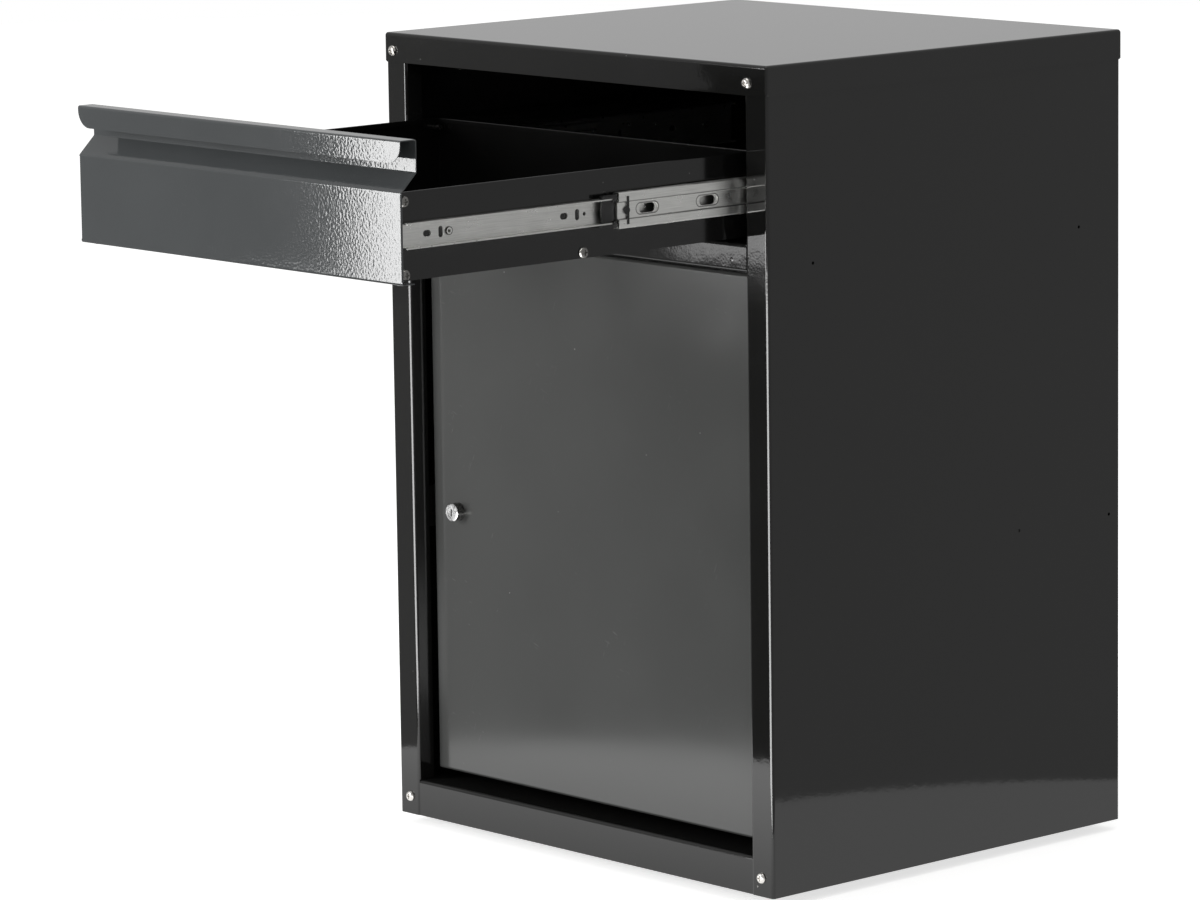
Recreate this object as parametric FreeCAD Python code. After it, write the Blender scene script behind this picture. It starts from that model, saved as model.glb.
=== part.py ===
import FreeCAD, Part
import math
import os

# Side locker for a tool chest: a sheet-steel cabinet with one drawer on ball-bearing slides above a
# locker closed by a hinged door. Millimetres, +Z up, front at -Y, origin on the floor under the
# centre of the cabinet. The drawer is modelled pulled out and the door shut and unlocked.

V = FreeCAD.Vector

# ---------------------------------------------------------------- cabinet shell
cabinet_width = 522.0         # across the outer faces of the side panels
cabinet_depth = 462.0         # front face of the stiles to the rear flanges
cabinet_height = 770.0        # floor to the top of the lid
sheet = 1.0                   # body sheet thickness
bend = 2.0                    # inside radius of a body bend
stile_width = 28.5            # front flange of a side panel
stile_return = 19.0           # depth of the stile's inward return
rear_flange = 18.0
lid_skirt = 28.0
lid_clearance = 0.3           # lid to side panels
lid_corner_round = 3.0        # lower corners of the lid's skirts
lid_corner_slit = 0.4         # open seam between two skirts
lid_headroom = 1.2            # lid's underside to the tops of the panels
seat_gap = 0.3                # gap left between pieces that are assembled next to each other

# ---------------------------------------------------------------- base and feet
foot_height = 10.0
foot_radius = 14.0
foot_taper = 1.5
foot_edge = 1.0
foot_inset = 45.0             # foot centre from the cabinet's front, back and sides
foot_screw_seat = 5.0         # underside of the foot to the screw's seat
foot_recess_gap = 1.0         # screw head to the foot's counterbore
rail_height = 35.0            # front rail, from the underside of the cabinet to the floor plate
base_flange = 22.0            # side and rear flanges of the base pan
runner_width = 44.0
runner_flange = 12.0
runner_sheet = 1.2

# ---------------------------------------------------------------- divider rail
drawer_bay = 187.5            # lid's top down to the divider's lower edge
divider_height = 25.0
divider_depth = 40.0
divider_tab = 18.0            # end tabs against the stile returns
door_stop_drop = 12.0         # lip under the divider that the door closes against
stop_cutback = 16.0           # lip ends this far short of the hinge axis
rivet_radius = 2.2
rivet_shank = 1.1
rivet_height = 0.9
rivet_from_opening = 19.5     # rivet centre from the stile return
rivet_up = 10.0               # rivet centre above the lower edge of the divider

# ---------------------------------------------------------------- door
door_recess = 20.0            # door face behind the stile faces
door_side_gap = 6.0
door_top_gap = 5.5
door_bottom_gap = 10.5
door_depth = 18.0
door_lip = 12.0               # inward lip along the vertical edges
stiffener_width = 60.0
stiffener_depth = 14.0
stiffener_flange = 14.0
hinge_inset = 12.0            # pin axis from the door's right edge
hinge_setback = 9.0           # pin axis behind the door face
pin_radius = 3.0
running_gap = 0.05            # radial clearance of a running fit
pin_shoulder_radius = 6.5
pin_head_radius = 5.5
pin_head_height = 2.0
pin_engagement = 9.0          # pin length inside the door
bush_radius = 4.8
bush_flange_radius = 7.0
bush_flange = 1.5
bush_length = 8.0             # inside the door

# ---------------------------------------------------------------- lock
lock_from_edge = 36.3         # lock axis from the door's left edge
lock_height = 312.0
lock_head_radius = 8.7
lock_head_length = 10.0
lock_head_chamfer = 1.0
lock_barrel_radius = 7.8
lock_barrel_length = 10.3     # behind the door face
lock_fit = 0.1                # barrel in the door skin and the nut
lock_nut_radius = 11.5        # over the corners
lock_nut_height = 3.0
plug_radius = 5.4
plug_recess = 0.5
plug_square = 7.0
key_slot_width = 1.5
key_slot_height = 7.6
key_slot_depth = 8.0
cam_width = 15.0
cam_sheet = 2.0
cam_length = 50.0
cam_corner = 4.0
cam_slot_gap = 1.5            # cam to the edges of its slot in the door flange
cam_screw_radius = 1.9
cam_screw_length = 8.0
cam_screw_head_radius = 4.6
cam_screw_head_height = 2.2
strike_height = 40.0
strike_sheet = 1.2

# ---------------------------------------------------------------- drawer
drawer_lift = 4.8             # drawer's bottom above the divider
drawer_rear_gap = 14.6        # closed drawer to the back panel
drawer_side_height = 76.7
drawer_rear_setback = 28.0    # drawer's rear face behind the stile faces, drawer out
drawer_sheet = 0.9
drawer_bend = 0.9
hem_width = 2.3               # folded top edges of the drawer sides and back
hem_drop = 5.0
hem_bend = 0.08
tray_flange = 12.0
back_flange = 16.0
face_sheet = 1.0
face_bend = 1.0
face_overlap = 5.2            # drawer face past the drawer side
face_drop = 3.2               # drawer face below the drawer's bottom
face_flange = 16.0            # depth of the face's side flanges
face_hem = 2.2                # folded thickness of the face's side edges
face_bottom_flange = 14.0
pull_depth = 17.4             # finger wall behind the face
pull_slope_rise = 16.5
pull_rise = 44.8              # top of the pull above the drawer sides
pull_lip = 19.9
pull_lip_round = 16.0

# ---------------------------------------------------------------- slides
slide_rise = 39.2             # centre line of the slides above the drawer's bottom
slide_inset = 0.5             # slide's wall inside the edge of the opening
slide_rear_gap = 21.0         # drawer member's rear end ahead of the drawer's rear face
slide_thickness = 12.7
slide_sheet = 1.2
slide_bend = 0.6
slide_front_gap = 1.3         # cabinet member behind the closed drawer's folded face edge
outer_half = 20.0             # half height of the cabinet member
outer_reach = 7.9
outer_lip = 2.0
middle_half = 16.2            # half height of the middle member
middle_reach = 7.8
middle_lip = 2.4
middle_bend = 0.45
middle_shortfall = 10.0       # middle member shorter than the other two
middle_travel = 174.0         # middle member's way out as the drawer opens fully
middle_gap = 1.0              # middle member's web to the cabinet member's web
band_half = 6.75              # recessed band along the middle member's web
band_depth = 1.0
band_tongue = 1.2             # band's reach ahead of the member's front end
pocket_length = 28.0          # pressed pocket round a slot of the middle member
pocket_width = 12.0
pocket_depth = 0.6
pocket_slot_length = 19.0
pocket_slot_width = 8.5
pocket_places = (34.6, 107.5, 215.0, -60.0)    # negative places count from a member's rear end
inner_half = 11.3             # half height of the drawer member
inner_reach = 7.9
inner_setback = 4.4           # drawer member's front end behind the drawer face
level_slot = (8.7, 5.6)
upright_slot = (10.0, 4.8)
pilot_radius = 1.7
inner_level_places = (27.7, 185.3, -100.0)
inner_upright_places = (43.1, 200.9)
inner_pilot_place = 209.4
inner_screw_places = (52.2, 240.0, -30.0)
outer_level_places = (60.0, -80.0)
outer_upright_places = (110.0, -150.0)
outer_screw_places = (35.0, 190.0, -35.0)

# ---------------------------------------------------------------- balls, cages and clips
race_gap = 0.06               # ball to race
cage_sheet = 1.0
cage_rim = 0.5                # cage metal beside a ball
cage_hole_gap = 0.05
inner_cage_length = 130.0
inner_ball_count = 10
outer_cage_length = 140.0
outer_ball_count = 12
outer_cage_setback = 8.0      # cage behind the cabinet member's front end, drawer out
bridge_length = 12.0          # strap that joins the two strips of the outer cage
bridge_sheet = 0.5
bridge_place = 79.5           # strap's centre behind the cage's front end
stop_block_length = 16.6      # plastic end block of the inner cage
stop_block_lead = 1.3         # gap from the block to the middle member, drawer out
block_gap = 0.2               # block to the drawer member's flanges
block_shell = 2.0
block_plate_depth = 4.8       # block's inner plate from the drawer side
block_half = 14.4
block_nose_radius = 30.0
clip_half = 12.5
clip_width = 2.6
clip_nose_radius = 3.4
clip_rise = 0.4               # clip above the middle member's web
clip_setback = 10.5           # clip behind the middle member's front end

# ---------------------------------------------------------------- slide brackets
bracket_sheet = 1.2
bracket_half = 33.0           # half height of the web that carries the slide
bracket_flange = 20.0
bracket_rear_gap = 16.5       # bracket to the back panel

# ---------------------------------------------------------------- pinholes in the side panels
pinhole_radius = 1.5
upper_pinhole_height = 588.0
upper_pinhole_y = 174.5
lower_pinhole_height = 309.0
lower_pinhole_ys = (92.5, 216.0)

# ---------------------------------------------------------------- screws
screw_radius = 2.4
screw_length = 11.0
screw_head_radius = 5.0
screw_head_height = 3.0
screw_hole_gap = 0.15
recess_width = 1.1
recess_length = 5.4
recess_depth = 1.7
small_radius = 1.9
small_length = 6.0
small_head_radius = 3.7
flat_head_height = 1.1
hex_drive_radius = 1.6
base_screw_up = 17.4          # base screws above the underside of the cabinet
base_screw_inset = 15.2
lid_screw_down = 17.0         # lid screws below the lid's top
left_lid_screw_inset = 11.0
right_lid_screw_inset = 24.0
rear_screw_inset = 9.0
back_screw_margin = 20.0
back_screw_count = 4
drawer_screw_low = 5.0        # lower screws above the drawer's bottom edge
drawer_screw_down = 8.4       # upper screws below the drawer's top edge
drawer_front_screw = 7.4      # screws behind the drawer face
drawer_rear_screw = 7.0       # screws ahead of the drawer's rear face
under_screw_inset = 8.3       # screws under the face, from the drawer sides
under_screw_back = 9.0
under_head_height = 1.3

# ---------------------------------------------------------------- derived places
half_width = cabinet_width / 2
front = -cabinet_depth / 2
back = cabinet_depth / 2
inside_half = half_width - sheet
fitted_half = inside_half - bend - seat_gap
opening_half = half_width - stile_width
lid_underside = cabinet_height - sheet
panel_top = lid_underside - lid_headroom
floor_top = foot_height + rail_height
rail_front = front + sheet
pan_rear = back - 2 * sheet
divider_bottom = cabinet_height - drawer_bay
divider_top = divider_bottom + divider_height

door_face = front + door_recess
door_back = door_face + door_depth
door_half = opening_half - door_side_gap
door_low = floor_top + door_bottom_gap
door_high = divider_bottom - door_top_gap
hinge_x = door_half - hinge_inset
hinge_y = door_face + hinge_setback
lock_x = lock_from_edge - door_half
lock_end = door_face + lock_barrel_length
cam_front = lock_end + seat_gap
cam_back = cam_front + cam_sheet

slide_wall = opening_half - slide_inset
drawer_side_half = slide_wall - slide_thickness
drawer_bottom = divider_top + drawer_lift
drawer_top = drawer_bottom + drawer_side_height
drawer_length = pan_rear - drawer_rear_gap - door_face
drawer_rear = front + drawer_rear_setback
face_plane = drawer_rear - drawer_length
drawer_inside = drawer_side_half - drawer_sheet
face_half = drawer_side_half + face_overlap
face_bottom = drawer_bottom - face_drop
pull_top = drawer_top + pull_rise

slide_height = drawer_bottom + slide_rise
slide_length = drawer_length - inner_setback - slide_rear_gap
middle_length = slide_length - middle_shortfall
outer_front = door_face + face_hem + slide_front_gap
outer_web = slide_thickness - slide_sheet
middle_web = outer_web - middle_gap
middle_tip = middle_web - middle_reach
band_web = middle_web - band_depth
middle_start = outer_front - middle_travel
inner_start = face_plane + inner_setback
inner_cage_start = middle_start - stop_block_lead
outer_cage_start = outer_front + outer_cage_setback

left = -1
right = 1
toward_front = V(0, -1, 0)
toward_back = V(0, 1, 0)
upward = V(0, 0, 1)
outward = V(1, 0, 0)


# ---------------------------------------------------------------- geometry helpers
def block(x, y, z):
    """Box between two limits on each axis, given in either order."""
    low = V(min(x), min(y), min(z))
    size = V(max(x), max(y), max(z)) - low
    return Part.makeBox(size.x, size.y, size.z, low)


def rod(radius, start, end):
    """Cylinder from one point to another."""
    axis = end - start
    return Part.makeCylinder(radius, axis.Length, start, axis)


def joined(shapes):
    """One solid from touching shapes, without seams between coplanar faces."""
    return shapes[0].fuse(shapes[1:]).removeSplitter().Solids[0]


def grouped(shapes):
    """Separate solids that share one node."""
    return Part.makeCompound([solid for shape in shapes for solid in shape.Solids])


def mirrored(shape):
    """The same piece on the other side of the cabinet."""
    return shape.mirror(V(0, 0, 0), outward)


def both_sides(shape):
    return grouped([mirrored(shape), shape])


def evenly(first, last, count):
    """A count of values from first to last."""
    return [first + (last - first) * i / (count - 1) for i in range(count)]


def direction(start, end):
    """Unit vector between two flat points."""
    return V(end[0] - start[0], end[1] - start[1], 0).normalize()


def moved_left(points, distance):
    """The path moved to its left by a distance, with mitred corners."""
    ways = [direction(a, b) for a, b in zip(points, points[1:])]
    ways = [ways[0]] + ways + [ways[-1]]
    moved = []
    for point, before, after in zip(points, ways, ways[1:]):
        normal = V(-before.y - after.y, before.x + after.x, 0).normalize()
        reach = distance / (normal.y * before.x - normal.x * before.y)
        moved.append((point[0] + normal.x * reach, point[1] + normal.y * reach))
    return moved


def rounded_path(points, left_radius, right_radius, place):
    """Edges along a path, its left and right turns rounded by tangent arcs."""
    edges = []
    start = V(points[0][0], points[0][1], 0)
    for before, corner, after in zip(points, points[1:], points[2:]):
        arriving = direction(before, corner)
        leaving = direction(corner, after)
        turn = math.atan2(arriving.cross(leaving).z, arriving.dot(leaving))
        radius = left_radius if turn > 0 else right_radius
        reach = radius * math.tan(abs(turn) / 2)
        tip = V(corner[0], corner[1], 0)
        inward = (leaving - arriving).normalize()
        middle = tip + inward * (radius / math.cos(turn / 2) - radius)
        arc_start = tip - arriving * reach
        arc_end = tip + leaving * reach
        edges.append(Part.makeLine(place(start), place(arc_start)))
        edges.append(Part.Arc(place(arc_start), place(middle), place(arc_end)).toShape())
        start = arc_end
    edges.append(Part.makeLine(place(start), place(V(points[-1][0], points[-1][1], 0))))
    return edges


def folded(points, thickness, inside_radius, axis, start, end):
    """Bent sheet along an axis: its section follows a path, with the metal to the path's left."""
    to_space = {
        "x": lambda p, w: V(w, p.x, p.y),
        "y": lambda p, w: V(p.x, w, p.y),
        "z": lambda p, w: V(p.x, p.y, w),
    }[axis]

    def place(point):
        return to_space(point, start)

    outside_radius = inside_radius + thickness
    other = moved_left(points, thickness)
    edges = rounded_path(points, outside_radius, inside_radius, place)
    edges += rounded_path(other, inside_radius, outside_radius, place)
    for end_point, other_end in ((points[0], other[0]), (points[-1], other[-1])):
        edges.append(Part.makeLine(place(V(*end_point, 0)), place(V(*other_end, 0))))
    section = Part.Face(Part.Wire(Part.__sortEdges__(edges)))
    solid = section.extrude(to_space(V(0, 0, 0), end) - to_space(V(0, 0, 0), start))
    return solid if solid.Volume > 0 else solid.reversed()


def edges_where(shape, test):
    """Edges whose centre and end-to-end vector pass a test."""
    found = []
    for edge in shape.Edges:
        span = edge.Vertexes[-1].Point - edge.Vertexes[0].Point
        if test(edge.CenterOfMass, span):
            found.append(edge)
    return found


def flat_prism(corners, depth):
    """Prism on a flat polygon."""
    return Part.Face(Part.makePolygon(corners + corners[:1])).extrude(depth)


def round_slot(centre, along, long_way, length, width):
    """Round-ended slot: a solid from its centre point, deep along one direction."""
    half = long_way * ((length - width) / 2)
    across = along.cross(long_way).normalize() * (width / 2)
    low = centre - half
    high = centre + half
    body = flat_prism([low - across, high - across, high + across, low + across], along)
    ends = [rod(width / 2, end, end + along) for end in (low, high)]
    return joined([body] + ends)


def corner_cutter(corner, inward, upward_way, radius, depth):
    """Tool that rounds a sheet's corner, cutting along a depth vector."""
    centre = corner + inward * radius + upward_way * radius
    square = flat_prism([corner - inward - upward_way, corner + inward * radius - upward_way, centre,
                         corner + upward_way * radius - inward], depth)
    return square.cut(rod(radius, centre - depth, centre + depth * 2))


def screw_hole(point, way, radius=screw_radius):
    """Clearance hole through the sheets under a screw head."""
    return rod(radius + screw_hole_gap, point - way * screw_length, point + way * (2 * sheet))


def cross_recess(point, way, head_height):
    """Driver recess in the top of a screw head."""
    up = V(1, 0, 0) if abs(way.z) > abs(way.x) + abs(way.y) else V(0, 0, 1)
    across = way.cross(up)
    bottom = point + way * (head_height - recess_depth)
    bars = []
    for a, b in ((up * recess_length, across * recess_width), (across * recess_length, up * recess_width)):
        corner = bottom - a / 2 - b / 2
        bars.append(flat_prism([corner, corner + a, corner + a + b, corner + b], way * head_height))
    return bars[0].fuse(bars[1])


def pan_screw(point, way, length=screw_length, radius=screw_radius,
              head_radius=screw_head_radius, head_height=screw_head_height):
    """Pan-head screw seated at a point, its head standing out along a direction."""
    crown = head_radius / 2
    side_height = head_height / 3
    rim = V(head_radius, 0, side_height)
    top = V(crown, 0, head_height)
    bulge = V(head_height - side_height, 0, crown).normalize() * (head_height / 6)
    edges = [
        Part.makeLine(V(0, 0, 0), V(head_radius, 0, 0)),
        Part.makeLine(V(head_radius, 0, 0), rim),
        Part.Arc(rim, (rim + top) / 2 + bulge, top).toShape(),
        Part.makeLine(top, V(0, 0, head_height)),
        Part.makeLine(V(0, 0, head_height), V(0, 0, 0)),
    ]
    head = Part.Face(Part.Wire(edges)).revolve(V(0, 0, 0), V(0, 0, 1), 360)
    head.Placement = FreeCAD.Placement(point, FreeCAD.Rotation(V(0, 0, 1), way))
    head = head.cut(cross_recess(point, way, head_height))
    return joined([head, rod(radius, point - way * length, point)])


def flat_screw(point, way):
    """Low-head screw with a round drive hole."""
    head = rod(small_head_radius, point, point + way * flat_head_height)
    shank = rod(small_radius, point - way * small_length, point)
    drive = rod(hex_drive_radius, point + way * (flat_head_height / 3), point + way * small_length)
    return joined([head, shank]).cut(drive)


def along(start, length, place):
    """A place along a member, from its front end or, if negative, from its rear end."""
    return start + place + (length if place < 0 else 0)


# ---------------------------------------------------------------- screw places
def lid_screw_points():
    """Front and rear points on the outside of the lid's skirts."""
    skirt = back + lid_clearance + sheet
    height = cabinet_height - lid_screw_down
    rear_x = half_width - rear_screw_inset
    fronts = [
        V(left * (half_width - left_lid_screw_inset), -skirt, height),
        V(right * (half_width - right_lid_screw_inset), -skirt, height),
    ]
    return fronts, [V(side * rear_x, skirt, height) for side in (left, right)]


def base_screw_points():
    """Front and rear points on the outside of the side panels' flanges."""
    height = foot_height + base_screw_up
    front_x = half_width - base_screw_inset
    rear_x = half_width - rear_screw_inset
    fronts = [V(side * front_x, front, height) for side in (left, right)]
    return fronts, [V(side * rear_x, back, height) for side in (left, right)]


def back_screw_points():
    x = half_width - rear_screw_inset
    low = floor_top + back_screw_margin
    high = cabinet_height - lid_skirt - back_screw_margin
    return [V(side * x, back, z) for side in (left, right) for z in evenly(low, high, back_screw_count)]


def drawer_screw_points():
    """Points on the outer face of the right drawer side."""
    high = drawer_top - drawer_screw_down
    low = drawer_bottom + drawer_screw_low
    y_front = face_plane + drawer_front_screw
    y_rear = drawer_rear - drawer_rear_screw
    y_middle = (y_front + y_rear) / 2
    places = [(y_front, high), (y_front, low), (y_middle, low), (y_rear, high), (y_rear, low)]
    return [V(drawer_side_half, y, z) for y, z in places]


def under_screw_points():
    x = drawer_side_half - under_screw_inset
    return [V(side * x, face_plane + under_screw_back, face_bottom) for side in (left, right)]


def inner_screw_points():
    """Points on the right drawer member's web."""
    x = drawer_side_half + slide_sheet
    return [V(x, along(inner_start, slide_length, place), slide_height) for place in inner_screw_places]


def outer_screw_points():
    """Points on the right cabinet member's web."""
    x = drawer_side_half + outer_web
    return [V(x, along(outer_front, slide_length, place), slide_height) for place in outer_screw_places]


def side_holes(points, radius=screw_radius):
    """Holes through the drawer's sides at points on both of them."""
    holes = []
    for point in points:
        holes.append(screw_hole(point, outward, radius))
        holes.append(screw_hole(V(-point.x, point.y, point.z), -outward, radius))
    return holes


# ---------------------------------------------------------------- cabinet pieces
def side_panel(side):
    """Side of the cabinet with its front stile and rear flange turned inwards."""
    path = [
        (opening_half, front + stile_return),
        (opening_half, front),
        (half_width, front),
        (half_width, back),
        (half_width - rear_flange, back),
    ]
    panel = folded(path, sheet, bend, "z", foot_height, panel_top)
    rail_notch = block(
        (opening_half - sheet, opening_half + 2 * (sheet + bend)),
        (rail_front, front + stile_return + sheet),
        (foot_height - sheet, floor_top + seat_gap),
    )
    panel = panel.cut(rail_notch)
    if side == left:
        panel = mirrored(panel)
    holes = []
    pinholes = [(-upper_pinhole_y, upper_pinhole_height), (upper_pinhole_y, upper_pinhole_height)]
    pinholes += [(y, lower_pinhole_height) for y in lower_pinhole_ys]
    for y, z in pinholes:
        centre = V(side * half_width, y, z)
        holes.append(rod(pinhole_radius, centre - outward * (2 * sheet), centre + outward * (2 * sheet)))
    lid_fronts, lid_rears = lid_screw_points()
    base_fronts, base_rears = base_screw_points()
    for point in lid_fronts + base_fronts:
        if point.x * side > 0:
            holes.append(screw_hole(point, toward_front))
    for point in lid_rears + base_rears + back_screw_points():
        if point.x * side > 0:
            holes.append(screw_hole(point, toward_back))
    return panel.cut(holes)


def back_panel():
    plate = block((-fitted_half, fitted_half), (pan_rear, back - sheet), (foot_height, panel_top))
    points = lid_screw_points()[1] + base_screw_points()[1] + back_screw_points()
    return plate.cut([screw_hole(point, toward_back) for point in points])


def base_pan():
    """Floor plate with the front rail and the side and rear flanges turned down."""
    flange_low = floor_top - base_flange
    path = [
        (pan_rear, flange_low),
        (pan_rear, floor_top),
        (rail_front, floor_top),
        (rail_front, foot_height),
    ]
    pieces = [folded(path, sheet, bend, "x", -fitted_half, fitted_half)]
    y = (rail_front + sheet + bend, pan_rear - sheet - bend)
    for side in (left, right):
        x = (side * fitted_half, side * (fitted_half - sheet))
        pieces.append(block(x, y, (flange_low, floor_top)))
    pan = joined(pieces)
    fronts, rears = base_screw_points()
    holes = [screw_hole(point, toward_front) for point in fronts]
    holes += [screw_hole(point, toward_back) for point in rears]
    axis = V(hinge_x, hinge_y, floor_top)
    holes.append(rod(pin_radius + running_gap, axis - upward * (2 * sheet), axis + upward * sheet))
    return pan.cut(holes)


def foot_centres(sides=(left, right)):
    x = half_width - foot_inset
    y = back - foot_inset
    return [V(side * x, end * y, 0) for side in sides for end in (-1, 1)]


def base_runner(side):
    """Channel under the floor plate that carries the feet."""
    centre = side * (half_width - foot_inset)
    half = runner_width / 2
    top = floor_top - sheet
    web = foot_height + runner_sheet
    path = [
        (centre + half + runner_flange, top),
        (centre + half, top),
        (centre + half, web),
        (centre - half, web),
        (centre - half, top),
        (centre - half - runner_flange, top),
    ]
    start = rail_front + sheet + bend + seat_gap
    end = pan_rear - sheet - bend - seat_gap
    runner = folded(path, runner_sheet, bend, "y", start, end)
    seats = [foot + upward * (foot_height + runner_sheet) for foot in foot_centres((side,))]
    return runner.cut([screw_hole(seat, upward) for seat in seats])


def feet():
    """Round plastic feet, counterbored for their screws."""
    shapes = []
    for centre in foot_centres():
        body = Part.makeCone(foot_radius - foot_taper, foot_radius, foot_height, centre)
        rim = edges_where(body, lambda c, span: c.z < foot_height / 4 and span.Length < foot_edge)
        body = body.makeFillet(foot_edge, rim)
        recess = rod(screw_head_radius + foot_recess_gap, centre, centre + upward * foot_screw_seat)
        hole = rod(screw_radius + screw_hole_gap, centre, centre + upward * foot_height)
        shapes.append(body.cut([recess, hole]))
    return grouped(shapes)


def foot_screws():
    return grouped([pan_screw(centre + upward * foot_screw_seat, -upward) for centre in foot_centres()])


def lid():
    """Shallow pan turned over the top of the cabinet, its corners open."""
    half_x = half_width + lid_clearance + sheet
    half_y = back + lid_clearance + sheet
    low = cabinet_height - lid_skirt

    def dome(inset, bottom, radius):
        """Block with rounded upright corners and a rounded top edge."""
        top = cabinet_height - inset
        x, y = half_x - inset, half_y - inset
        solid = block((-x, x), (-y, y), (bottom, top))
        edges = edges_where(solid, lambda c, span: abs(span.z) > radius or c.z > top - radius)
        return solid.makeFillet(radius, edges)

    pan = dome(0, low, bend + sheet).cut(dome(sheet, low - sheet, bend))
    cuts = []
    for sx in (left, right):
        for sy in (-1, 1):
            corner = V(sx * half_x, sy * half_y, low)
            inward_x = V(-sx, 0, 0)
            inward_y = V(0, -sy, 0)
            for along_skirt, through in ((inward_x, inward_y), (inward_y, inward_x)):
                depth = through * lid_corner_round
                cuts.append(corner_cutter(corner, along_skirt, upward, lid_corner_round, depth))
            across = V(-sy, sx, 0).normalize() * lid_corner_slit
            into = V(-sx, -sy, 0) * (bend + 2 * sheet)
            slit = corner - into - across / 2 - upward * sheet
            height = upward * (lid_skirt - bend - sheet)
            cuts.append(flat_prism([slit, slit + across, slit + across + into * 2, slit + into * 2], height))
    fronts, rears = lid_screw_points()
    cuts += [screw_hole(point, toward_front) for point in fronts]
    cuts += [screw_hole(point, toward_back) for point in rears]
    return pan.cut(cuts)


def rivet_points():
    x = opening_half - rivet_from_opening
    return [V(side * x, rail_front, divider_bottom + rivet_up) for side in (left, right)]


def divider_rail():
    """Channel between drawer and locker, with a lip that stops the door."""
    half = opening_half - seat_gap
    stop = door_back + seat_gap
    stop_low = divider_bottom - door_stop_drop
    path = [
        (rail_front + divider_depth, divider_top),
        (rail_front, divider_top),
        (rail_front, divider_bottom),
        (stop, divider_bottom),
        (stop, stop_low),
    ]
    pieces = [folded(path, sheet, bend, "x", -half, half)]
    tab_z = (divider_bottom + sheet / 2, divider_top - sheet / 2)
    for side in (left, right):
        tab_x = (side * half, side * (half - sheet))
        pieces.append(block(tab_x, (rail_front + sheet / 2, rail_front + divider_tab), tab_z))
    rail = joined(pieces)
    axis = V(hinge_x, hinge_y, divider_bottom)
    cuts = [rod(pin_radius + running_gap, axis - upward, axis + upward * (2 * sheet))]
    cuts.append(block((hinge_x - stop_cutback, half + sheet), (stop - sheet, stop + 2 * sheet),
                      (stop_low - sheet, door_high + 2 * sheet)))
    for point in rivet_points():
        cuts.append(rod(rivet_shank + running_gap, point - toward_back, point + toward_back * (2 * sheet)))
    return rail.cut(cuts)


def divider_rivets():
    """Low dome rivets in the divider's face."""
    dome_radius = (rivet_radius ** 2 + rivet_height ** 2) / (2 * rivet_height)
    shapes = []
    for point in rivet_points():
        ball = Part.makeSphere(dome_radius, point + toward_back * (dome_radius - rivet_height))
        cap = ball.common(rod(dome_radius, point, point + toward_front * dome_radius))
        shank = rod(rivet_shank, point, point + toward_back * (2 * sheet))
        shapes.append(joined([cap, shank]))
    return grouped(shapes)


# ---------------------------------------------------------------- door pieces
def door_panel():
    """Tray-shaped door with a lip along its upright edges."""

    def tray(inset, rear, radius):
        """Block with its front rim rounded."""
        x = door_half - inset
        solid = block((-x, x), (door_face + inset, rear), (door_low + inset, door_high - inset))
        rim = edges_where(solid, lambda c, span: c.y < door_face + inset + radius)
        return solid.makeFillet(radius, rim)

    pieces = [tray(0, door_back, bend + sheet).cut(tray(sheet, door_back + sheet, bend))]
    for side in (left, right):
        x = (side * (door_half - sheet / 2), side * (door_half - door_lip))
        z = (door_low + sheet / 2, door_high - sheet / 2)
        pieces.append(block(x, (door_back - sheet, door_back), z))
    door = joined(pieces)
    edge = lock_from_edge - sheet
    sweep = math.sqrt(cam_length ** 2 + (cam_width / 2) ** 2 - edge ** 2)
    cuts = [
        rod(lock_barrel_radius + lock_fit, lock_point(-sheet), lock_point(2 * sheet)),
        block(
            (-door_half - sheet, -door_half + 2 * sheet),
            (cam_front - cam_slot_gap, cam_back + cam_slot_gap),
            (lock_height - cam_width / 2 - cam_slot_gap, lock_height + sweep + cam_slot_gap),
        ),
        rod(bush_radius + running_gap, V(hinge_x, hinge_y, door_low - sheet),
            V(hinge_x, hinge_y, door_high + sheet)),
    ]
    return door.cut(cuts)


def door_stiffener():
    """Hat channel down the back of the door skin."""
    base = door_face + 2 * sheet
    half = stiffener_width / 2
    crown = door_face + sheet + stiffener_depth
    path = [
        (half + stiffener_flange, base),
        (half, base),
        (half, crown),
        (-half, crown),
        (-half, base),
        (-half - stiffener_flange, base),
    ]
    margin = sheet + bend + seat_gap
    return folded(path, sheet, bend, "z", door_low + margin, door_high - margin)


def hinge_pin_upper():
    """Headed pin through the divider's lower flange into the top of the door."""
    seat = V(hinge_x, hinge_y, divider_bottom + sheet)
    head = rod(pin_head_radius, seat, seat + upward * pin_head_height)
    return joined([head, rod(pin_radius, V(hinge_x, hinge_y, door_high - pin_engagement), seat)])


def hinge_pin_lower():
    """Shouldered pin riveted through the floor plate into the bottom of the door."""
    seat = V(hinge_x, hinge_y, floor_top - sheet)
    rivet = rod(pin_head_radius, seat - upward * pin_head_height, seat)
    shoulder_top = door_low - bush_flange - seat_gap
    shoulder = rod(pin_shoulder_radius, seat + upward * sheet, V(hinge_x, hinge_y, shoulder_top))
    shank = rod(pin_radius, seat, V(hinge_x, hinge_y, door_low + pin_engagement))
    return joined([rivet, shoulder, shank])


def hinge_bushes():
    """Flanged nylon bushes in the top and bottom flanges of the door."""
    shapes = []
    for height, inward in ((door_low, upward), (door_high, -upward)):
        mouth = V(hinge_x, hinge_y, height)
        flange = rod(bush_flange_radius, mouth - inward * bush_flange, mouth)
        body = rod(bush_radius, mouth, mouth + inward * bush_length)
        bore = rod(pin_radius + running_gap, mouth - inward * bush_length, mouth + inward * (2 * bush_length))
        shapes.append(joined([flange, body]).cut(bore))
    return grouped(shapes)


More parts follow.
